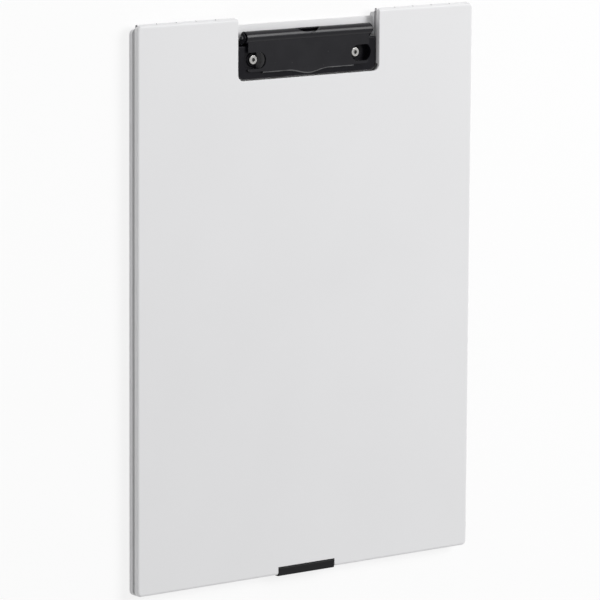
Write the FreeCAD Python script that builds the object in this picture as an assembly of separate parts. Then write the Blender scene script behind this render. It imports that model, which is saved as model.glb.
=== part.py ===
import FreeCAD, Part
import math
import os

Vector = FreeCAD.Vector

# All lengths are millimetres. The case lies on its back: X runs across its width, Y runs up
# towards the clip, and Z comes out of its front face. The origin is the middle of the underside.

# Case outline
case_width = 243.4
case_height = 330.0
case_depth = 9.1
corner_radius = 3.0
seam_height = 5.1
seam_gap = 0.4
rim_edge_radius = 0.5
front_edge_radius = 1.5
back_edge_radius = 1.4
rim_thickness = 1.8
inner_corner_radius = 1.2
overrun = 5.0

# Front cover
cover_face_thickness = 1.5
tongue_thickness = 0.8
tongue_depth = 0.7
tongue_clearance = 0.25
tongue_top_setback = 12.0

# Notch round the clip
notch_width = 102.3
notch_depth = 36.6
notch_corner_radius = 4.0
notch_wall = 1.6
notch_edge_radius = 0.5

# Back shell and writing board
cheek_length = 20.0
cheek_clearance = 0.15
shell_floor_thickness = 1.2
board_thickness = 0.8
board_clearance = 0.3
board_corner_radius = 1.5
deck_setback = 5.0
lug_length = 14.0
lug_reach = 1.0
lug_height = 0.6
lug_clearance = 0.05
side_lug_count = 4
bottom_lug_spacing = 130.0

# Cover hinge along the top edge
hinge_setback = 1.5
knuckle_radius = 1.2
knuckle_relief = 0.25
knuckle_gap = 0.4
knuckle_count = 5
knuckle_side_inset = 2.0
hinge_pin_radius = 0.6
hinge_bore_clearance = 0.05
hinge_bore_end_wall = 1.5
hinge_pin_end_gap = 0.2
top_lean_angle = 18.0
top_swing_clearance = 0.15
cover_rise_over_axis = 0.2

# Latch at the middle of the bottom edge
latch_width = 41.0
latch_side_clearance = 0.3
latch_barrel_radius = 0.95
latch_barrel_setback = 3.6
latch_front_thickness = 1.1
latch_leg_thickness = 1.0
latch_leg_proud = 0.8
latch_leg_end_height = 0.9
latch_bead_radius = 0.5
latch_bead_inset = 0.8
latch_outer_radius = 0.8
latch_end_radius = 0.4
latch_pin_radius = 0.5
latch_pin_clearance = 0.05
latch_pin_bearing = 2.5
latch_pocket_clearance = 0.25
latch_leg_clearance = 0.15
latch_bead_clearance = 0.1
latch_groove_depth = 0.3
latch_groove_top = 2.6
latch_boss_wall = 1.3
latch_boss_side = 2.0

# Clip base plate
clip_sheet = 0.8
base_side_gap = 0.85
base_lower_length = 19.5
base_bottom_gap = 0.4
base_corner_radius = 4.6
platform_height = 5.0
platform_edge_radius = 0.6
ear_inset = 3.7
ear_radius = 2.5
ear_foot_setback = 8.2
ear_back_setback = 2.7
rivet_boss_radius = 4.2
rivet_boss_height = 0.6
recess_half_width = 5.1
recess_inner_reach = 6.3
recess_outer_reach = 9.4

# Clip press plate, rolled into a tube round its rod
tube_radius = 3.5
tube_lift = 0.3
tube_setback = 11.8
tube_end_clearance = 0.4
tube_gap_start_angle = 186.0
tube_gap_end_angle = 258.0
bearing_disc_inset = 3.0
crescent_width = 17.5
crescent_depth = 2.8
plate_end_inset = 1.45
plate_rise = 2.2
plate_fall = 0.3
plate_root_overlap = 0.3
plate_front_setback = 31.8
plate_corner_radius = 2.6
lip_rivet_gap = 4.1
lip_reach = 1.05
lip_bend_radius = 1.1
lip_foot_gap = 0.1
thumb_tab_width = 29.0
thumb_tab_reach = 2.2
rivet_slot_half_width = 4.8
rivet_slot_reach = 6.0

# Pivot rod and springs
rod_radius = 1.2
rod_clearance = 0.05
rod_end_projection = 0.7
rod_end_chamfer = 0.3
spring_wire_radius = 0.35
spring_coil_radius = 1.9
spring_turns = 5
spring_pitch = 1.0
spring_arc_count = 23
spring_centre_offset = 18.5
spring_bend_radius = 0.9
spring_base_leg_length = 3.4
spring_jaw_leg_length = 2.4
spring_jaw_leg_fall = 0.87
spring_hole_clearance = 0.05

# Rivets
rivet_side_inset = 13.2
rivet_setback = 25.3
rivet_shank_radius = 1.6
rivet_hole_clearance = 0.05
rivet_head_radius = 2.8
rivet_head_height = 1.1
rivet_head_edge = 0.4
rivet_eye_radius = 1.0
rivet_eye_depth = 0.7
rivet_tail_radius = 2.6
rivet_tail_height = 0.35
rivet_tail_depth = 0.1
washer_radius = 3.8
washer_thickness = 0.35
washer_recess_clearance = 0.3


# Places worked out from the sizes above
half_width = case_width / 2
half_height = case_height / 2
half_notch = notch_width / 2
shell_rim_height = seam_height - seam_gap / 2
cover_rim_height = seam_height + seam_gap / 2
cover_inner_height = case_depth - cover_face_thickness
board_top = shell_floor_thickness + board_thickness
deck_edge = half_height - deck_setback
notch_bottom = half_height - notch_depth
top_lean = math.tan(math.radians(top_lean_angle))
hinge_y = half_height - hinge_setback
hinge_z = seam_height
cover_top_at_axis = hinge_y + cover_rise_over_axis
shell_top_at_axis = hinge_y - cover_rise_over_axis - top_swing_clearance
base_top = board_top + clip_sheet
pivot_y = half_height - tube_setback
pivot_z = base_top + tube_lift + tube_radius
platform_top = board_top + platform_height
base_side = half_notch - base_side_gap
ear_outer = base_side - ear_inset
ear_inner = ear_outer - clip_sheet
tube_half_length = ear_inner - tube_end_clearance
base_upper_edge = pivot_y - ear_back_setback
plate_side = tube_half_length - plate_end_inset
rivet_x = base_side - rivet_side_inset
lip_side = rivet_x - lip_rivet_gap
spring_start_x = spring_centre_offset - spring_pitch * spring_turns / 2
plate_root_y = pivot_y - math.sqrt(tube_radius ** 2 - plate_rise ** 2)
plate_front_y = half_height - plate_front_setback
rivet_y = half_height - rivet_setback
latch_y = latch_barrel_setback - half_height
latch_z = case_depth - latch_barrel_radius
latch_leg_inner_y = latch_leg_thickness - latch_leg_proud - half_height
flatness = case_depth / 100000


# Small builders

def block(x_low, x_high, y_low, y_high, z_low, z_high):
    corner = Vector(x_low, y_low, z_low)
    return Part.makeBox(x_high - x_low, y_high - y_low, z_high - z_low, corner)


def bar(radius, x_low, x_high, y, z):
    return Part.makeCylinder(radius, x_high - x_low, Vector(x_low, y, z), Vector(1, 0, 0))


def post(radius, x, y, z_low, z_high):
    return Part.makeCylinder(radius, z_high - z_low, Vector(x, y, z_low))


def upright_edges(shape, choose=None):
    found = []
    for edge in shape.Edges:
        start = edge.Vertexes[0].Point
        end = edge.Vertexes[-1].Point
        rise = abs(end.z - start.z)
        if rise > 0 and abs(end.x - start.x) < rise and abs(end.y - start.y) < rise:
            if choose is None or choose(edge.CenterOfMass):
                found.append(edge)
    return found


def level_edges(shape, z):
    found = []
    for edge in shape.Edges:
        box = edge.BoundBox
        if abs(box.ZMin - z) < flatness and abs(box.ZMax - z) < flatness:
            found.append(edge)
    return found


def rounded_block(x_low, x_high, y_low, y_high, z_low, z_high, radius):
    shape = block(x_low, x_high, y_low, y_high, z_low, z_high)
    return shape.makeFillet(radius, upright_edges(shape))


def side_prism(edges, x_low, x_high):
    """A solid of constant side view: edges in the Y-Z plane, pushed from x_low to x_high."""
    face = Part.Face(Part.Wire(Part.__sortEdges__(edges)))
    face.translate(Vector(x_low, 0, 0))
    return face.extrude(Vector(x_high - x_low, 0, 0))


def side_polygon(points, x_low, x_high):
    corners = [Vector(0, y, z) for y, z in points]
    corners.append(corners[0])
    return side_prism(Part.makePolygon(corners).Edges, x_low, x_high)


def mirrored(shape):
    return shape.mirror(Vector(0, 0, 0), Vector(1, 0, 0))


# Case shells

def lean_at(z, height_at_axis):
    """Both top edges lean back together, so they meet flat when the cover is fully open."""
    return height_at_axis + top_lean * (z - hinge_z)


def shell_blank(z_low, z_high, height_at_axis):
    low_top = lean_at(z_low, height_at_axis)
    high_top = lean_at(z_high, height_at_axis)
    outline = [(-half_height, z_low), (low_top, z_low), (high_top, z_high), (-half_height, z_high)]
    blank = side_polygon(outline, -half_width, half_width)
    return blank.makeFillet(corner_radius, upright_edges(blank))


def knuckle_spans():
    """X ranges of the knuckles right of the notch, from the notch outwards."""
    start = half_notch + knuckle_gap
    end = half_width - knuckle_side_inset
    length = (end - start - knuckle_gap * (knuckle_count - 1)) / knuckle_count
    step = length + knuckle_gap
    return [(start + step * i, start + step * i + length) for i in range(knuckle_count)]


def cover_knuckles():
    return knuckle_spans()[0::2]


def shell_knuckles():
    return knuckle_spans()[1::2]


def knuckle_bars(spans, radius, extra):
    bars = []
    for low, high in spans:
        right = bar(radius, low - extra, high + extra, hinge_y, hinge_z)
        bars.append(right)
        bars.append(mirrored(right))
    return bars


def hinge_bores():
    radius = hinge_pin_radius + hinge_bore_clearance
    end = knuckle_spans()[-1][1] - hinge_bore_end_wall
    right = bar(radius, half_notch - overrun, end, hinge_y, hinge_z)
    return [right, mirrored(right)]


def add_hinge(shell, own_spans, other_spans):
    shell = shell.cut(knuckle_bars(other_spans, knuckle_radius + knuckle_relief, knuckle_relief))
    shell = shell.fuse(knuckle_bars(own_spans, knuckle_radius, 0))
    return shell.cut(hinge_bores()).removeSplitter()


def board_lugs():
    """Moulded lugs on the rim that hold the writing board down."""
    inner_x = half_width - rim_thickness
    inner_y = half_height - rim_thickness
    z_low = board_top + lug_clearance
    z_high = z_low + lug_height
    root = rim_thickness / 2
    spacing = case_height / (side_lug_count + 1)
    lugs = []
    for i in range(side_lug_count):
        y = spacing * (i + 1) - half_height
        right = block(inner_x - lug_reach, inner_x + root, y - lug_length / 2, y + lug_length / 2,
                      z_low, z_high)
        lugs.append(right)
        lugs.append(mirrored(right))
    x = bottom_lug_spacing / 2
    right = block(x - lug_length / 2, x + lug_length / 2, -inner_y - root, lug_reach - inner_y,
                  z_low, z_high)
    lugs.append(right)
    lugs.append(mirrored(right))
    return lugs


def notch_cheeks(grow):
    """Upright walls of the back shell beside the deck, below the notch's side walls."""
    high = lean_at(shell_rim_height, shell_top_at_axis) - rim_thickness / 2
    right = block(half_notch - grow, half_notch + notch_wall + grow, deck_edge - cheek_length - grow,
                  high, shell_floor_thickness / 2, shell_rim_height)
    return [right, mirrored(right)]


def latch_seat():
    """Recess under the bottom edge for the latch's leg, with the groove for its bead."""
    reach = latch_width / 2 + latch_side_clearance
    lip = latch_leg_inner_y + latch_bead_radius + latch_bead_clearance
    outside = -half_height - overrun
    leg = block(-reach, reach, outside, lip, -overrun, shell_rim_height + overrun)
    groove = block(-reach, reach, outside, lip + latch_groove_depth, -overrun,
                   latch_groove_top)
    return leg.fuse(groove)


def washer_recesses():
    radius = washer_radius + washer_recess_clearance
    depth = rivet_tail_depth + rivet_tail_height + washer_thickness
    return [post(radius, side * rivet_x, rivet_y, -overrun, depth) for side in (-1, 1)]


def rivet_holes():
    radius = rivet_shank_radius + rivet_hole_clearance
    top = case_depth + overrun
    return [post(radius, side * rivet_x, rivet_y, -overrun, top) for side in (-1, 1)]


def make_back_shell():
    shell = shell_blank(0, shell_rim_height, shell_top_at_axis)
    shell = shell.makeFillet(back_edge_radius, level_edges(shell, 0))
    shell = shell.makeFillet(rim_edge_radius, level_edges(shell, shell_rim_height))
    cavity_top = lean_at(shell_floor_thickness, shell_top_at_axis) - rim_thickness
    cavity = rounded_block(rim_thickness - half_width, half_width - rim_thickness,
                           rim_thickness - half_height, cavity_top,
                           shell_floor_thickness, case_depth, inner_corner_radius)
    shell = shell.cut(cavity)
    shell = shell.fuse(board_lugs() + notch_cheeks(0))
    notch = block(-half_notch, half_notch, deck_edge, half_height + overrun, -overrun, case_depth)
    shell = shell.cut(notch)
    shell = add_hinge(shell, shell_knuckles(), cover_knuckles())
    shell = shell.cut(latch_seat())
    return shell.cut(washer_recesses() + rivet_holes()).removeSplitter()


def make_writing_board():
    side = half_width - rim_thickness - board_clearance
    bottom = rim_thickness + board_clearance - half_height
    board = rounded_block(-side, side, bottom, deck_edge, shell_floor_thickness, board_top,
                          board_corner_radius)
    return board.cut(notch_cheeks(cheek_clearance) + rivet_holes())


def notch_space():
    shape = block(-half_notch, half_notch, notch_bottom, half_height + overrun, -overrun,
                  case_depth + overrun)
    lower = upright_edges(shape, lambda centre: centre.y < notch_bottom + flatness)
    return shape.makeFillet(notch_corner_radius, lower)


def notch_side_walls():
    """Walls that close the cover's inside at both sides of the notch, but not below it."""
    low = notch_bottom + notch_corner_radius
    right = block(half_notch, half_notch + notch_wall, low, half_height + overrun,
                  -overrun, case_depth)
    return [right, mirrored(right)]


def notch_face_edges(cover):
    """Edges of the cover's face round the notch."""
    found = []
    for edge in level_edges(cover, case_depth):
        centre = edge.CenterOfMass
        if abs(centre.x) < half_notch + flatness and centre.y > notch_bottom - flatness:
            if centre.y < deck_edge:
                found.append(edge)
    return found


def cover_tongue():
    """A thin tongue on three sides of the cover that nests inside the back shell's rim."""
    side = half_width - rim_thickness - tongue_clearance
    bottom = rim_thickness + tongue_clearance - half_height
    top = half_height - tongue_top_setback
    z_low = cover_rim_height - tongue_depth - seam_gap
    z_high = cover_inner_height
    outer = block(-side, side, bottom, top, z_low, z_high)
    inner = block(tongue_thickness - side, side - tongue_thickness, bottom + tongue_thickness,
                  top + overrun, z_low, z_high)
    bottom_corners = upright_edges(outer, lambda centre: centre.y < 0)
    outer = outer.makeFillet(inner_corner_radius, bottom_corners)
    return outer.cut(inner)


def latch_pocket():
    """Space for the latch's barrel and front, and for its leg under the cover's edge."""
    reach = latch_width / 2 + latch_side_clearance
    round_space = latch_barrel_radius + latch_pocket_clearance
    barrel = bar(round_space, -reach, reach, latch_y, latch_z)
    over_barrel = block(-reach, reach, latch_y, latch_y + round_space, latch_z,
                        case_depth + overrun)
    front_floor = case_depth - latch_front_thickness - latch_leg_clearance
    front = block(-reach, reach, -half_height - overrun, latch_y, front_floor,
                  case_depth + overrun)
    leg_line = latch_leg_inner_y + latch_leg_clearance
    leg = block(-reach, reach, -half_height - overrun, leg_line, -overrun, case_depth + overrun)
    return barrel.fuse([over_barrel, front, leg])


def latch_boss():
    """Local thickening inside the cover round the latch's barrel and pin."""
    side = latch_width / 2 + latch_pin_bearing + latch_boss_side
    room = latch_barrel_radius + latch_pocket_clearance + latch_boss_wall
    bottom = rim_thickness / 2 - half_height
    return block(-side, side, bottom, latch_y + room, latch_z - room, cover_inner_height)


def make_front_cover():
    cover = shell_blank(cover_rim_height, case_depth, cover_top_at_axis)
    cover = cover.makeFillet(front_edge_radius, level_edges(cover, case_depth))
    cover = cover.makeFillet(rim_edge_radius, level_edges(cover, cover_rim_height))
    cavity_top = lean_at(cover_rim_height, cover_top_at_axis) - rim_thickness
    cavity = rounded_block(rim_thickness - half_width, half_width - rim_thickness,
                           rim_thickness - half_height, cavity_top,
                           -overrun, cover_inner_height, inner_corner_radius)
    cavity = cavity.cut(notch_side_walls())
    cover = cover.cut(cavity)
    cover = cover.fuse([cover_tongue(), latch_boss()])
    cover = cover.cut(notch_space())
    cover = cover.makeFillet(notch_edge_radius, notch_face_edges(cover))
    cover = add_hinge(cover, cover_knuckles(), shell_knuckles())
    cover = cover.cut(latch_pocket())
    bearing = latch_width / 2 + latch_pin_bearing
    pin_bore = bar(latch_pin_radius + latch_pin_clearance, -bearing, bearing, latch_y, latch_z)
    return cover.cut(pin_bore).removeSplitter()


def make_hinge_pin():
    start = knuckle_spans()[0][0]
    end = knuckle_spans()[-1][1] - hinge_bore_end_wall - hinge_pin_end_gap
    return bar(hinge_pin_radius, start, end, hinge_y, hinge_z)


# Latch

def make_latch():
    reach = latch_width / 2
    outer_line = -half_height - latch_leg_proud
    inner_line = latch_leg_inner_y
    front_inner = case_depth - latch_front_thickness
    barrel = bar(latch_barrel_radius, -reach, reach, latch_y, latch_z)
    profile = [(latch_y, front_inner), (latch_y, case_depth), (outer_line, case_depth),
               (outer_line, latch_leg_end_height), (inner_line, latch_leg_end_height),
               (inner_line, front_inner)]
    body = side_polygon(profile, -reach, reach)

    def along_x(y, z):
        for edge in body.Edges:
            centre = edge.CenterOfMass
            if abs(centre.x) < flatness and abs(centre.y - y) < flatness:
                if abs(centre.z - z) < flatness:
                    return edge

    body = body.makeFillet(latch_outer_radius, [along_x(outer_line, case_depth)])
    body = body.makeFillet(latch_end_radius, [along_x(outer_line, latch_leg_end_height)])
    bead = bar(latch_bead_radius, -reach, reach, inner_line,
               latch_leg_end_height + latch_bead_inset)
    body = body.fuse([barrel, bead.common(block(-reach, reach, inner_line - latch_end_radius,
                                                inner_line + overrun, 0, case_depth))])
    bore = bar(latch_pin_radius + latch_pin_clearance, -reach - overrun, reach + overrun,
               latch_y, latch_z)
    return body.cut(bore).removeSplitter()


def make_latch_pin():
    bearing = latch_width / 2 + latch_pin_bearing - latch_pin_clearance
    return bar(latch_pin_radius, -bearing, bearing, latch_y, latch_z)


# Clip

def ear():
    """Upright ear at the right end of the base plate, rounded about the rod."""
    foot = Vector(0, pivot_y - ear_foot_setback, board_top)
    centre = Vector(0, pivot_y, pivot_z)
    to_foot = foot.sub(centre)
    angle = math.atan2(to_foot.z, to_foot.y) - math.acos(ear_radius / to_foot.Length)
    touch = centre.add(Vector(0, ear_radius * math.cos(angle), ear_radius * math.sin(angle)))
    middle = angle / 2
    if angle < 0:
        middle = (angle + math.pi * 2) / 2
    crown = centre.add(Vector(0, ear_radius * math.cos(middle), ear_radius * math.sin(middle)))
    back = centre.add(Vector(0, ear_radius, 0))
    back_foot = Vector(0, base_upper_edge, board_top)
    edges = [Part.LineSegment(foot, touch).toShape(), Part.Arc(touch, crown, back).toShape(),
             Part.LineSegment(back, back_foot).toShape(),
             Part.LineSegment(back_foot, foot).toShape()]
    return side_prism(edges, ear_inner, ear_outer)


def rivet_recess(grow, z_low, z_high):
    """A long round-ended well about the right rivet, grown by a wall thickness."""
    radius = recess_half_width + grow
    inner_x = rivet_x - recess_inner_reach + recess_half_width
    outer_x = rivet_x + recess_outer_reach - recess_half_width
    ends = [post(radius, x, rivet_y, z_low, z_high) for x in (inner_x, outer_x)]
    middle = block(inner_x, outer_x, rivet_y - radius, rivet_y + radius, z_low, z_high)
    return middle.fuse(ends).removeSplitter()


def platform_block(inset, back, z_low, z_high):
    """The raised front of the base plate as a block, shrunk by a wall thickness."""
    side = base_side - inset
    front = notch_bottom + base_bottom_gap + inset
    shape = block(-side, side, front, back, z_low, z_high)
    corners = upright_edges(shape, lambda centre: centre.y < front + flatness)
    return shape.makeFillet(base_corner_radius - inset, corners)


def spring_leg_holes():
    """Small holes in the platform's back wall that take the springs' base legs."""
    radius = spring_wire_radius + spring_hole_clearance
    back = notch_bottom + base_bottom_gap + base_lower_length
    start = Vector(spring_start_x, back + clip_sheet / 2, pivot_z - spring_bend_radius)
    right = Part.makeCylinder(radius, clip_sheet * 2, start, Vector(0, -1, 0))
    return [right, mirrored(right)]


def make_clip_base_plate():
    back = notch_bottom + base_bottom_gap + base_lower_length
    platform = platform_block(0, back, board_top, platform_top)
    platform = platform.makeFillet(platform_edge_radius, level_edges(platform, platform_top))
    inside = platform_block(clip_sheet, back - clip_sheet, board_top - overrun,
                            platform_top - clip_sheet)
    platform = platform.cut(inside)
    wells = rivet_recess(clip_sheet, board_top, platform_top - clip_sheet / 2)
    spaces = rivet_recess(0, base_top, platform_top + overrun)
    strip = block(-ear_outer, ear_outer, back - clip_sheet, base_upper_edge, board_top, base_top)
    plate = platform.fuse([wells, mirrored(wells), strip, ear(), mirrored(ear())])
    plate = plate.cut([spaces, mirrored(spaces)])
    boss = Part.makeCone(rivet_boss_radius, rivet_boss_radius - rivet_boss_height,
                         rivet_boss_height, Vector(rivet_x, rivet_y, base_top))
    plate = plate.fuse([boss, mirrored(boss)])
    reach = ear_outer + overrun
    rod_hole = bar(rod_radius + rod_clearance, -reach, reach, pivot_y, pivot_z)
    return plate.cut([rod_hole] + rivet_holes() + spring_leg_holes()).removeSplitter()


def tube_point(radius, degrees):
    turn = math.radians(degrees)
    return Vector(0, pivot_y + radius * math.cos(turn), pivot_z + radius * math.sin(turn))


def rolled_tube(half_length):
    """The rolled edge of the sheet: a ring about the rod with an open seam at its lower front."""
    outer = tube_radius
    inner = tube_radius - clip_sheet
    start = tube_gap_end_angle - 360
    end = tube_gap_start_angle
    middle = (start + end) / 2
    edges = [Part.Arc(tube_point(outer, start), tube_point(outer, middle),
                      tube_point(outer, end)).toShape(),
             Part.LineSegment(tube_point(outer, end), tube_point(inner, end)).toShape(),
             Part.Arc(tube_point(inner, end), tube_point(inner, middle),
                      tube_point(inner, start)).toShape(),
             Part.LineSegment(tube_point(inner, start), tube_point(outer, start)).toShape()]
    return side_prism(edges, -half_length, half_length)


def plate_top(y):
    """Height of the flat plate's upper face, which falls gently away from the tube."""
    length = plate_root_y - plate_front_y
    return pivot_z + plate_rise - plate_fall * (plate_root_y - y) / length


def flat_plate():
    y_root = plate_root_y + plate_root_overlap
    points = [(y_root, plate_top(y_root)), (plate_front_y, plate_top(plate_front_y)),
              (plate_front_y, plate_top(plate_front_y) - clip_sheet),
              (y_root, plate_top(y_root) - clip_sheet)]
    plate = side_polygon(points, -plate_side, plate_side)
    front_corners = upright_edges(plate, lambda centre: centre.y < plate_front_y + flatness)
    return plate.makeFillet(plate_corner_radius, front_corners)


def lip_block(side, front, back, z_low, z_high, bend):
    """A block whose front bulges in one smooth wave, with its upper front edge rounded."""
    wave_side = thumb_tab_width / 2
    tip = front - thumb_tab_reach
    middle = (front + tip) / 2
    wave = Part.BSplineCurve()
    points = [Vector(-wave_side, front, z_low), Vector(-wave_side / 2, middle, z_low),
              Vector(0, tip, z_low), Vector(wave_side / 2, middle, z_low),
              Vector(wave_side, front, z_low)]
    wave.interpolate(Points=points, InitialTangent=Vector(1, 0, 0),
                     FinalTangent=Vector(1, 0, 0))
    outline = [points[-1], Vector(side, front, z_low), Vector(side, back, z_low),
               Vector(-side, back, z_low), Vector(-side, front, z_low), points[0]]
    edges = [wave.toShape()] + Part.makePolygon(outline).Edges
    face = Part.Face(Part.Wire(Part.__sortEdges__(edges)))
    shape = face.extrude(Vector(0, 0, z_high - z_low))
    upper_front = [edge for edge in level_edges(shape, z_high)
                   if edge.BoundBox.YMax < front + flatness]
    return shape.makeFillet(bend, upper_front)


def press_lip():
    """The middle of the plate's front edge bends down to press on the paper."""
    top = plate_top(plate_front_y)
    front = plate_front_y - lip_reach
    foot = platform_top + lip_foot_gap
    outer = lip_block(lip_side, front, plate_front_y + clip_sheet, foot, top, lip_bend_radius)
    inner = lip_block(lip_side + overrun, front + clip_sheet, plate_front_y + overrun,
                      foot - overrun, top - clip_sheet, lip_bend_radius - clip_sheet)
    return outer.cut(inner)


def rivet_slot():
    """The slot over the right rivet: open to the side, with a round inner end."""
    inner_x = rivet_x - rivet_slot_reach + rivet_slot_half_width
    z_high = case_depth + overrun
    end = post(rivet_slot_half_width, inner_x, rivet_y, base_top, z_high)
    return end.fuse(block(inner_x, base_side, rivet_y - rivet_slot_half_width,
                          rivet_y + rivet_slot_half_width, base_top, z_high))


def crescent_cut():
    """The bite out of the tube's upper front, an arc in the plate's plane."""
    edge_y = pivot_y + tube_radius
    radius = (crescent_width ** 2 / 4 + crescent_depth ** 2) / (2 * crescent_depth)
    return post(radius, 0, edge_y - crescent_depth + radius, pivot_z, case_depth + overrun)


def bearing_disc():
    """Inner wall near the tube's end that turns on the rod."""
    outer = tube_radius - clip_sheet / 2
    start = tube_half_length - bearing_disc_inset - clip_sheet
    disc = bar(outer, start, start + clip_sheet, pivot_y, pivot_z)
    return disc.cut(bar(rod_radius + rod_clearance, start - overrun, start + overrun,
                        pivot_y, pivot_z))


def make_clip_press_plate():
    plate = flat_plate().cut([rivet_slot(), mirrored(rivet_slot())])
    jaw = plate.fuse([press_lip(), rolled_tube(tube_half_length)])
    jaw = jaw.cut(crescent_cut())
    return jaw.fuse([bearing_disc(), mirrored(bearing_disc())]).removeSplitter()


def make_clip_pivot_rod():
    reach = ear_outer + rod_end_projection
    rod = bar(rod_radius, -reach, reach, pivot_y, pivot_z)
    ends = [edge for edge in rod.Edges if abs(abs(edge.CenterOfMass.x) - reach) < flatness]
    return rod.makeChamfer(rod_end_chamfer, ends)


def coil_point(turn, along):
    """A point of the coil: turn in degrees about the rod, counted like tube_point."""
    point = tube_point(spring_coil_radius, turn)
    point.x = along
    return point


def spring_wire_path():
    """One wire: a leg hooked into the platform's back wall, the coil, a leg on the tube's seam."""
    leg_fall = math.degrees(math.asin(spring_jaw_leg_fall / spring_jaw_leg_length))
    last_turn = leg_fall - 90 - 360 * spring_turns
    first_turn = -180
    sweep = last_turn - first_turn
    climb = spring_pitch * spring_turns / spring_arc_count

    edges = []
    for i in range(spring_arc_count):
        ends = [first_turn + sweep * (i + part) / spring_arc_count for part in (0, 1 / 2, 1)]
        along = [spring_start_x + climb * (i + part) for part in (0, 1 / 2, 1)]
        points = [coil_point(turn, x) for turn, x in zip(ends, along)]
        edges.append(Part.Arc(points[0], points[1], points[2]).toShape())

    coil_start = coil_point(first_turn, spring_start_x)
    bend = spring_bend_radius
    bend_centre = coil_start.sub(Vector(0, bend, 0))
    half_turn = math.sqrt(2) / 2
    bend_middle = bend_centre.add(Vector(0, bend * half_turn, -bend * half_turn))
    bend_end = bend_centre.sub(Vector(0, 0, bend))
    base_tip = bend_end.sub(Vector(0, spring_base_leg_length, 0))
    edges.insert(0, Part.Arc(bend_end, bend_middle, coil_start).toShape())
    edges.insert(0, Part.LineSegment(base_tip, bend_end).toShape())

    coil_end = coil_point(last_turn, spring_start_x + spring_pitch * spring_turns)
    run = math.sqrt(spring_jaw_leg_length ** 2 - spring_jaw_leg_fall ** 2)
    jaw_tip = coil_end.sub(Vector(0, run, spring_jaw_leg_fall))
    edges.append(Part.LineSegment(coil_end, jaw_tip).toShape())
    return Part.Wire(edges), base_tip


def make_clip_spring():
    path, tip = spring_wire_path()
    section = Part.Circle(tip, Vector(0, 1, 0), spring_wire_radius)
    wire = Part.Wire(section.toShape())
    return path.makePipeShell([wire], True, False)


def make_clip_rivet():
    seat = base_top + rivet_boss_height
    head = post(rivet_head_radius, rivet_x, rivet_y, seat, seat + rivet_head_height)
    crown = [edge for edge in head.Edges
             if abs(edge.CenterOfMass.z - seat - rivet_head_height) < flatness]
    head = head.makeFillet(rivet_head_edge, crown)
    shank = post(rivet_shank_radius, rivet_x, rivet_y, rivet_tail_depth, seat)
    tail = post(rivet_tail_radius, rivet_x, rivet_y, rivet_tail_depth,
                rivet_tail_depth + rivet_tail_height)
    top = seat + rivet_head_height
    eye = post(rivet_eye_radius, rivet_x, rivet_y, top - rivet_eye_depth, top + overrun)
    return head.fuse([shank, tail]).cut(eye).removeSplitter()


def make_rivet_washer():
    low = rivet_tail_depth + rivet_tail_height
    washer = post(washer_radius, rivet_x, rivet_y, low, low + washer_thickness)
    return washer.cut(post(rivet_shank_radius + rivet_hole_clearance, rivet_x, rivet_y,
                           -overrun, overrun))


def save(name, shape):
    shape.exportStep("parts/" + name + ".step")
    print(name, len(shape.Solids), shape.isValid(), round(shape.Volume, 1))


def save_pair(name, right_shape):
    save(name + "_left", mirrored(right_shape))
    save(name + "_right", right_shape)


os.makedirs("parts", exist_ok=True)
save("back_shell", make_back_shell())
save("writing_board", make_writing_board())
save("front_cover", make_front_cover())
save_pair("hinge_pin", make_hinge_pin())
save("latch", make_latch())
save("latch_pin", make_latch_pin())
save("clip_base_plate", make_clip_base_plate())
save("clip_press_plate", make_clip_press_plate())
save("clip_pivot_rod", make_clip_pivot_rod())
save_pair("clip_spring", make_clip_spring())
save_pair("clip_rivet", make_clip_rivet())
save_pair("rivet_washer", make_rivet_washer())
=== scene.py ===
import math

import bpy
from mathutils import Matrix, Vector


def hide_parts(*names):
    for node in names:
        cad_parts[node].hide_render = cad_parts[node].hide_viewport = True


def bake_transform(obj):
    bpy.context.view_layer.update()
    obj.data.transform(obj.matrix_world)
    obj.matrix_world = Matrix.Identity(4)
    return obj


# Lengths are metres, in the part's own frame: X across the case, Y up towards the clip, and Z
# out of the front cover. Angles are degrees and the lamps' powers are watts. The lens and the
# sensor are millimetres.

# Camera
camera_turn = 37.186
camera_rise = 9.397
camera_roll = 0.330
camera_distance = 2.63025
camera_aim_right = 0.00069
camera_aim_up = -0.00432
camera_lens = 269.43
camera_sensor = 36.0
camera_near_share = 0.01
camera_far_share = 10.0

# Lamps, each in a direction from the object
key_direction = (0.75, 0.5, 1.0)
key_distance = 2.6
key_size = 1.3
key_power = 46.0
fill_direction = (-0.9, 0.1, 0.5)
fill_distance = 1.6
fill_size = 1.2
fill_power = 3.4
top_direction = (0.3, 1.0, 0.08)
top_distance = 2.6
top_size = 1.2
top_power = 9.5
low_direction = (0.3, -1.0, 0.08)
low_distance = 2.6
low_size = 1.2
low_power = 7.0

# World and floor
world_light_strength = 0.35
world_seen_strength = 1.0
floor_size = 8.0
floor_drop = 0.0001
floor_glow_strength = 1.06
floor_glow_share = 0.75

# Painted shade along the seam between the case's halves
seam_height = 0.0051
seam_shade_start = 0.0005
seam_shade_reach = 0.0013
seam_shade_share = 0.9
seam_facing_range = (0.5, 0.9)

# Rivets of the clip
rivet_x = 0.0371
rivet_y = 0.1397
# The eye in the middle of each rivet head is darkened with painted shade
rivet_eye_radius = 0.001
rivet_eye_edge = 0.0014
rivet_eye_shade_share = 0.85

# Where painted light greys the inner side of the wells round the rivets, measured from a rivet's
# axis and the case's back
well_light_start = 0.0028
well_light_reach = 0.0066
well_light_half_width = 0.0054
well_light_fade = 0.0008
well_light_top = 0.0066
well_light_top_fade = 0.0003

# Where a painted highlight lightens the clip's downturned front edges
edge_highlight_front_end = 0.1345
edge_highlight_low = 0.0064
edge_highlight_fade = 0.0004
edge_highlight_patch_size = 0.006
edge_highlight_tilt_range = (0.15, 0.45)
edge_highlight_noise_range = (0.35, 0.6)
edge_highlight_patch_shares = (0.55, 1.0)

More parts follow.
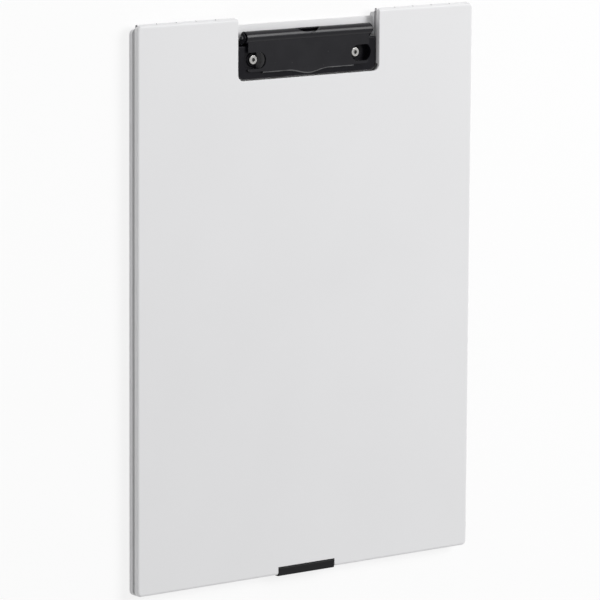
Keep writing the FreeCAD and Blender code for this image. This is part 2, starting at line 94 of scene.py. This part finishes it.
# Sizes and depths of the surface detail
relief_strength = 1.0
flow_blotch_size = 0.07
handling_mark_size = 0.03
moulded_grain_size = 0.0006
moulded_grain_depth = 0.000012
moulded_wave_size = 0.05
moulded_wave_depth = 0.00012
slide_line_size = 0.0008
slide_line_depth = 0.000008
latch_grain_size = 0.0007
latch_grain_depth = 0.00003
enamel_blotch_size = 0.012
speck_spacing = 0.006
speck_height = 0.00002
speck_reach_shares = (0.03, 0.06)
speck_share = 0.5
orange_peel_size = 0.0016
orange_peel_depth = 0.000008
tarnish_size = 0.002
nickel_mark_size = 0.0005
nickel_mark_depth = 0.000012
zinc_mark_size = 0.0008
zinc_mark_depth = 0.000015
draw_line_size = 0.0003
draw_line_depth = 0.000006
spring_mark_size = 0.0005
spring_mark_depth = 0.000006

# Shares along each axis: the smaller a share, the longer the marks are drawn out that way
even_shares = (1.0, 1.0, 1.0)
drawn_wire_shares = (0.03, 1.0, 1.0)
slide_line_shares = (1.0, 0.012, 1.0)

# Finer layers that each kind of noise texture adds to its blotches
relief_layers = 1.0
soft_layers = 2.0
mark_layers = 3.0
handling_layers = 4.0

# The range that most of a noise texture's values fall in, and shares that rise or fall
noise_range = (0.3, 0.7)
rising = (0.0, 1.0)
falling = (1.0, 0.0)

# Colours, each pair from the darkest to the lightest blotch
seen_white = (1.0, 1.0, 1.0)
floor_paper = (0.8, 0.8, 0.8)
case_whites = ((0.785, 0.785, 0.793), (0.815, 0.815, 0.825))
# Painted shade at the seam
painted_seam_shade_grey = (0.1, 0.1, 0.105)
board_whites = ((0.84, 0.84, 0.85), (0.865, 0.865, 0.875))
latch_blacks = ((0.007, 0.007, 0.0078), (0.011, 0.011, 0.012))
enamel_blacks = ((0.0062, 0.006, 0.0082), (0.0086, 0.0083, 0.0112))
speck_grey = (0.06, 0.06, 0.062)
# Painted highlight on the clip's front edges
painted_highlight_grey = (0.16, 0.16, 0.165)
# Painted light in the wells round the rivets
painted_well_light_grey = (0.17, 0.17, 0.175)
nickel_greys = ((0.26, 0.255, 0.25), (0.44, 0.435, 0.42))
# Painted shade inside the rivets' eyes
eye_painted_shade = (0.03, 0.03, 0.03)
zinc_greys = ((0.36, 0.37, 0.39), (0.52, 0.53, 0.55))
steel_greys = ((0.4, 0.4, 0.41), (0.55, 0.55, 0.56))
rod_greys = ((0.06, 0.06, 0.065), (0.11, 0.11, 0.115))
spring_greys = ((0.13, 0.13, 0.14), (0.24, 0.24, 0.25))

# Roughness, each pair from the smoothest to the dullest mark
case_roughness = (0.38, 0.48)
board_roughness = (0.3, 0.44)
latch_roughness = (0.4, 0.52)
base_roughness = (0.24, 0.32)
press_roughness = (0.18, 0.25)
nickel_roughness = (0.16, 0.3)
zinc_roughness = (0.36, 0.52)
steel_roughness = (0.24, 0.4)
rod_roughness = (0.3, 0.46)
spring_roughness = (0.28, 0.42)

# How metallic bare and plated metal is
metal_share = 1.0

# Gloss of the paints and plastics, as the shader's specular level
case_gloss = 0.3
board_gloss = 0.35
latch_gloss = 0.12
base_gloss = 0.08
press_gloss = 0.2


def camera_axes():
    """Right, up and backward directions of the camera."""
    turn = math.radians(camera_turn)
    rise = math.radians(camera_rise)
    roll = math.radians(camera_roll)
    back = Vector((-math.sin(turn) * math.cos(rise), math.sin(rise),
                   math.cos(turn) * math.cos(rise)))
    level_right = Vector((0, 1, 0)).cross(back).normalized()
    level_up = back.cross(level_right)
    right = level_right * math.cos(roll) + level_up * math.sin(roll)
    up = level_up * math.cos(roll) - level_right * math.sin(roll)
    return right, up, back


def place_camera():
    right, up, back = camera_axes()
    data = bpy.data.cameras.new("camera")
    data.lens = camera_lens
    data.sensor_width = camera_sensor
    data.sensor_fit = "HORIZONTAL"
    data.clip_start = camera_distance * camera_near_share
    data.clip_end = camera_distance * camera_far_share
    camera = bpy.data.objects.new("camera", data)
    bpy.context.scene.collection.objects.link(camera)
    aim = right * camera_aim_right + up * camera_aim_up
    turn = Matrix((right, up, back)).transposed()
    camera.matrix_world = Matrix.Translation(aim + back * camera_distance) @ turn.to_4x4()
    bpy.context.scene.camera = camera


def add_lamp(name, direction, distance, size, power):
    """A soft square white lamp that shines at the object from a direction."""
    data = bpy.data.lights.new(name, "AREA")
    data.size = size
    data.energy = power
    lamp = bpy.data.objects.new(name, data)
    bpy.context.scene.collection.objects.link(lamp)
    toward = Vector(direction).normalized()
    lamp.location = toward * distance
    lamp.rotation_mode = "QUATERNION"
    lamp.rotation_quaternion = toward.to_track_quat("Z", "Y")


class Graph:
    """A node tree, with short ways to add the nodes that the scene uses."""

    def __init__(self, tree):
        self.nodes = tree.nodes
        self.links = tree.links

    def feed(self, socket, value):
        """Links an output to the socket, or writes a number or a colour into it."""
        if isinstance(value, bpy.types.NodeSocket):
            self.links.new(value, socket)
        elif socket.type == "RGBA":
            socket.default_value = (*value, 1.0)
        else:
            socket.default_value = value

    def add(self, kind, inputs):
        node = self.nodes.new(kind)
        for name, value in inputs.items():
            self.feed(node.inputs[name], value)
        return node

    def calculate(self, operation, *values):
        node = self.nodes.new("ShaderNodeMath")
        node.operation = operation
        for socket, value in zip(node.inputs, values):
            self.feed(socket, value)
        return node.outputs["Value"]

    def product(self, first, *others):
        for other in others:
            first = self.calculate("MULTIPLY", first, other)
        return first

    def parts(self, vector):
        """The three parts of a vector, as the outputs X, Y and Z."""
        return self.add("ShaderNodeSeparateXYZ", {"Vector": vector}).outputs

    def spread(self, value, value_range, result_range):
        """A value's range turned into another range, held at both ends."""
        inputs = {"Value": value, "From Min": value_range[0], "From Max": value_range[1],
                  "To Min": result_range[0], "To Max": result_range[1]}
        return self.add("ShaderNodeMapRange", inputs).outputs["Result"]

    def seen_ray(self):
        """1 for rays from the camera and for reflections and transmissions of it, otherwise 0."""
        path = self.add("ShaderNodeLightPath", {}).outputs
        seen = self.calculate("MAXIMUM", path["Is Camera Ray"], path["Is Glossy Ray"])
        return self.calculate("MAXIMUM", seen, path["Is Transmission Ray"])

    def mix(self, share, first, second):
        """The first shader at share 0 and the second at share 1."""
        node = self.nodes.new("ShaderNodeMixShader")
        for socket, value in zip(node.inputs, (share, first, second)):
            self.feed(socket, value)
        return node.outputs["Shader"]


class Surface(Graph):
    """The graph of a new material, whose textures are fixed to the piece and ride along."""

    def __init__(self, name):
        self.material = bpy.data.materials.new(name)
        self.material.use_nodes = True
        super().__init__(self.material.node_tree)
        self.shader = self.nodes["Principled BSDF"]
        coordinates = self.add("ShaderNodeTexCoord", {}).outputs
        self.place = coordinates["Object"]
        self.facing = coordinates["Normal"]

    def give(self, name, value):
        self.feed(self.shader.inputs[name], value)

    def given(self, name):
        """The output that feeds one of the shader's inputs so far."""
        return self.shader.inputs[name].links[0].from_socket

    def cloud(self, size, layers, shares=even_shares):
        """Noise with blotches of about one size, which a small share draws out along its axis."""
        place = self.place
        if shares != even_shares:
            mapping = self.add("ShaderNodeMapping", {"Vector": place, "Scale": shares})
            place = mapping.outputs["Vector"]
        inputs = {"Vector": place, "Scale": 1 / size, "Detail": layers}
        return self.add("ShaderNodeTexNoise", inputs).outputs["Fac"]

    def scatter(self, spacing):
        """Distance to the nearest of scattered points, as a share of their spacing."""
        inputs = {"Vector": self.place, "Scale": 1 / spacing}
        return self.add("ShaderNodeTexVoronoi", inputs).outputs["Distance"]

    def between(self, share, colours):
        """A colour that runs from the first of a pair at share 0 to the second at share 1."""
        node = self.add("ShaderNodeValToRGB", {"Fac": share})
        for element, colour in zip(node.color_ramp.elements, colours):
            element.color = (*colour, 1.0)
        return node.outputs["Color"]

    def tinted(self, colour, share, other):
        """A colour drawn towards another by a share."""
        inputs = {"Fac": share, "Color1": colour, "Color2": other}
        return self.add("ShaderNodeMixRGB", inputs).outputs["Color"]

    def relief(self, height, depth):
        """Adds surface relief of a depth over any that the shader already has."""
        inputs = {"Strength": relief_strength, "Distance": depth, "Height": height}
        bump = self.add("ShaderNodeBump", inputs)
        if self.shader.inputs["Normal"].is_linked:
            self.feed(bump.inputs["Normal"], self.given("Normal"))
        self.give("Normal", bump.outputs["Normal"])


def light_world():
    """Even light on the object, and white where the world itself is seen."""
    world = bpy.data.worlds.new("studio")
    bpy.context.scene.world = world
    world.use_nodes = True
    graph = Graph(world.node_tree)
    graph.nodes.clear()
    light = graph.add("ShaderNodeBackground",
                      {"Color": seen_white, "Strength": world_light_strength})
    seen = graph.add("ShaderNodeBackground",
                     {"Color": seen_white, "Strength": world_seen_strength})
    mixed = graph.mix(graph.seen_ray(), light.outputs[0], seen.outputs[0])
    graph.add("ShaderNodeOutputWorld", {"Surface": mixed})


def floor_material():
    """White paper that glows by a share where it is seen, and keeps the object's shadow."""
    material = bpy.data.materials.new("floor_white")
    material.use_nodes = True
    graph = Graph(material.node_tree)
    graph.nodes.clear()
    paper = graph.add("ShaderNodeBsdfDiffuse", {"Color": floor_paper})
    glow = graph.add("ShaderNodeEmission",
                     {"Color": seen_white, "Strength": floor_glow_strength})
    share = graph.product(graph.seen_ray(), floor_glow_share)
    mixed = graph.mix(share, paper.outputs[0], glow.outputs[0])
    graph.add("ShaderNodeOutputMaterial", {"Surface": mixed})
    return material


def add_floor():
    half = floor_size / 2
    mesh = bpy.data.meshes.new("floor")
    corners = [(-half, -half, -floor_drop), (half, -half, -floor_drop),
               (half, half, -floor_drop), (-half, half, -floor_drop)]
    mesh.from_pydata(corners, [], [(0, 1, 2, 3)])
    mesh.materials.append(floor_material())
    floor = bpy.data.objects.new("floor", mesh)
    bpy.context.scene.collection.objects.link(floor)


def painted_seam_shade_mask(surface):
    """Painted seam shade: 1 right at the seam on the left and right sides, falling to 0 above and
    below it.
    """
    away = surface.calculate("SUBTRACT", surface.parts(surface.place)["Z"], seam_height)
    away = surface.calculate("ABSOLUTE", away)
    near = surface.spread(away, (seam_shade_start, seam_shade_reach), falling)
    sideways = surface.calculate("ABSOLUTE", surface.parts(surface.facing)["X"])
    sideways = surface.spread(sideways, seam_facing_range, rising)
    return surface.product(near, sideways, seam_shade_share)


def case_material():
    """White moulded plastic with a fine eroded grain, faint flow blotches and painted shade at the
    seam.
    """
    surface = Surface("case_white")
    colour = surface.between(surface.cloud(flow_blotch_size, mark_layers), case_whites)
    # Painted shade darkens the colour along the seam on the left and right sides
    surface.give("Base Color", surface.tinted(colour, painted_seam_shade_mask(surface), painted_seam_shade_grey))
    handling = surface.cloud(handling_mark_size, handling_layers)
    surface.give("Roughness", surface.spread(handling, noise_range, case_roughness))
    surface.give("Specular IOR Level", case_gloss)
    surface.relief(surface.cloud(moulded_wave_size, relief_layers), moulded_wave_depth)
    surface.relief(surface.cloud(moulded_grain_size, relief_layers), moulded_grain_depth)
    return surface.material


def board_material():
    """Smooth white sheet plastic, polished in fine lines along the sheets' sliding direction."""
    surface = Surface("board_white")
    blotches = surface.cloud(flow_blotch_size, soft_layers)
    surface.give("Base Color", surface.between(blotches, board_whites))
    lines = surface.cloud(slide_line_size, mark_layers, slide_line_shares)
    surface.give("Roughness", surface.spread(lines, noise_range, board_roughness))
    surface.give("Specular IOR Level", board_gloss)
    surface.relief(lines, slide_line_depth)
    return surface.material


def latch_material():
    """Black satin moulded plastic with a slightly coarser grain and faint thumb shine."""
    surface = Surface("latch_black")
    blotches = surface.cloud(handling_mark_size, mark_layers)
    surface.give("Base Color", surface.between(blotches, latch_blacks))
    surface.give("Roughness", surface.spread(blotches, noise_range, latch_roughness))
    surface.give("Specular IOR Level", latch_gloss)
    surface.relief(surface.cloud(latch_grain_size, relief_layers), latch_grain_depth)
    return surface.material


def painted_edge_highlight_share(surface):
    """Painted highlight share: 1 where the clip's front edges bend downwards, in patches."""
    tilt = surface.product(surface.parts(surface.facing)["Y"], -1.0)
    bent = surface.spread(tilt, edge_highlight_tilt_range, rising)
    place = surface.parts(surface.place)
    front = surface.spread(place["Y"], (edge_highlight_front_end, edge_highlight_front_end + edge_highlight_fade), falling)
    high = surface.spread(place["Z"], (edge_highlight_low, edge_highlight_low + edge_highlight_fade), rising)
    patches = surface.cloud(edge_highlight_patch_size, soft_layers)
    patches = surface.spread(patches, edge_highlight_noise_range, edge_highlight_patch_shares)
    return surface.product(bent, front, high, patches)


def enamel_surface(name, gloss, roughness):
    """Black baked enamel on sheet steel: orange peel, dust specks and a painted highlight on the
    downturned front edges.
    """
    surface = Surface(name)
    blotches = surface.cloud(enamel_blotch_size, mark_layers)
    specks = surface.spread(surface.scatter(speck_spacing), speck_reach_shares, (speck_share, 0))
    colour = surface.between(blotches, enamel_blacks)
    colour = surface.tinted(colour, specks, speck_grey)
    # Painted highlight lightens the downturned front edges
    colour = surface.tinted(colour, painted_edge_highlight_share(surface), painted_highlight_grey)
    surface.give("Base Color", colour)
    surface.give("Roughness", surface.spread(blotches, noise_range, roughness))
    surface.give("Specular IOR Level", gloss)
    surface.relief(surface.cloud(orange_peel_size, relief_layers), orange_peel_depth)
    surface.relief(specks, speck_height)
    return surface


def press_plate_material():
    return enamel_surface("press_enamel", press_gloss, press_roughness).material


def rivet_offsets(surface):
    """Distances from the nearest rivet's axis: across the case, negative inwards, and along it."""
    place = surface.parts(surface.place)
    aside = surface.calculate("ABSOLUTE", place["X"])
    across = surface.calculate("SUBTRACT", aside, rivet_x)
    along = surface.calculate("SUBTRACT", place["Y"], rivet_y)
    return across, along


def base_plate_material():
    """The base plate's enamel, with painted light greying the inner side of the well round each
    rivet.
    """
    surface = enamel_surface("base_enamel", base_gloss, base_roughness)
    across, along = rivet_offsets(surface)
    inwards = surface.spread(across, (-well_light_start - well_light_fade, -well_light_start), falling)
    within = surface.spread(across, (-well_light_reach - well_light_fade, -well_light_reach), rising)
    along = surface.calculate("ABSOLUTE", along)
    beside = surface.spread(along, (well_light_half_width, well_light_half_width + well_light_fade), falling)
    height = surface.parts(surface.place)["Z"]
    below = surface.spread(height, (well_light_top, well_light_top + well_light_top_fade), falling)
    painted_well_light = surface.product(inwards, within, beside, below)
    # Painted light greys the inner side of each well
    surface.give("Base Color", surface.tinted(surface.given("Base Color"), painted_well_light, painted_well_light_grey))
    return surface.material


def metal_surface(name, greys, roughness, mark_size, mark_depth, shares=even_shares):
    """Bare or plated metal with marks of one size, drawn out along the way it was worked."""
    surface = Surface(name)
    surface.give("Base Color", surface.between(surface.cloud(tarnish_size, mark_layers), greys))
    surface.give("Metallic", metal_share)
    marks = surface.cloud(mark_size, mark_layers, shares)
    surface.give("Roughness", surface.spread(marks, noise_range, roughness))
    surface.relief(marks, mark_depth)
    return surface


def rivet_material():
    """Nickel plate, with painted shade darkening the eye in the middle of each head."""
    surface = metal_surface("rivet_nickel", nickel_greys, nickel_roughness, nickel_mark_size,
                            nickel_mark_depth)
    across, along = rivet_offsets(surface)
    across = surface.product(across, across)
    along = surface.product(along, along)
    radius = surface.calculate("SQRT", surface.calculate("ADD", across, along))
    eye = surface.spread(radius, (rivet_eye_radius, rivet_eye_edge), (rivet_eye_shade_share, 0))
    # Painted shade darkens the eye in the middle of each head
    surface.give("Base Color", surface.tinted(surface.given("Base Color"), eye, eye_painted_shade))
    return surface.material


def washer_material():
    return metal_surface("washer_zinc", zinc_greys, zinc_roughness, zinc_mark_size,
                         zinc_mark_depth).material


def pin_material():
    return metal_surface("pin_steel", steel_greys, steel_roughness, draw_line_size,
                         draw_line_depth, drawn_wire_shares).material


def rod_material():
    return metal_surface("rod_blackened", rod_greys, rod_roughness, draw_line_size,
                         draw_line_depth, drawn_wire_shares).material


def spring_material():
    return metal_surface("spring_wire", spring_greys, spring_roughness, spring_mark_size,
                         spring_mark_depth).material


def dress(names, material):
    for name in names:
        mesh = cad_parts[name].data
        mesh.materials.clear()
        mesh.materials.append(material)


def wind_spring(node):
    """A copy of the spring's mesh, baked in place, that stands in for the hidden CAD spring."""
    piece = bpy.data.objects.new(node + "_wound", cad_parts[node].data.copy())
    bpy.context.scene.collection.objects.link(piece)
    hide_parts(node)
    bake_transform(piece)


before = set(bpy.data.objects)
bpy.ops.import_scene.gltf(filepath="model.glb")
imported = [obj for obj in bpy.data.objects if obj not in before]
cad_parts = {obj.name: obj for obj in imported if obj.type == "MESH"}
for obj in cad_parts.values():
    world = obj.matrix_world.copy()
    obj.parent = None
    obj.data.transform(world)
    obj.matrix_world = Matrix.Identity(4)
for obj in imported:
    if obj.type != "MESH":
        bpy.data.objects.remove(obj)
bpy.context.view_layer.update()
bpy.context.scene.view_settings.view_transform = "Standard"
place_camera()
light_world()
add_lamp("key", key_direction, key_distance, key_size, key_power)
add_lamp("fill", fill_direction, fill_distance, fill_size, fill_power)
add_lamp("top", top_direction, top_distance, top_size, top_power)
add_lamp("low", low_direction, low_distance, low_size, low_power)
add_floor()
dress(["back_shell", "front_cover"], case_material())
dress(["writing_board"], board_material())
dress(["latch"], latch_material())
dress(["clip_base_plate"], base_plate_material())
dress(["clip_press_plate"], press_plate_material())
dress(["clip_rivet_left", "clip_rivet_right"], rivet_material())
dress(["rivet_washer_left", "rivet_washer_right"], washer_material())
dress(["hinge_pin_left", "hinge_pin_right", "latch_pin"], pin_material())
dress(["clip_pivot_rod"], rod_material())
dress(["clip_spring_left", "clip_spring_right"], spring_material())
wind_spring("clip_spring_left")
wind_spring("clip_spring_right")
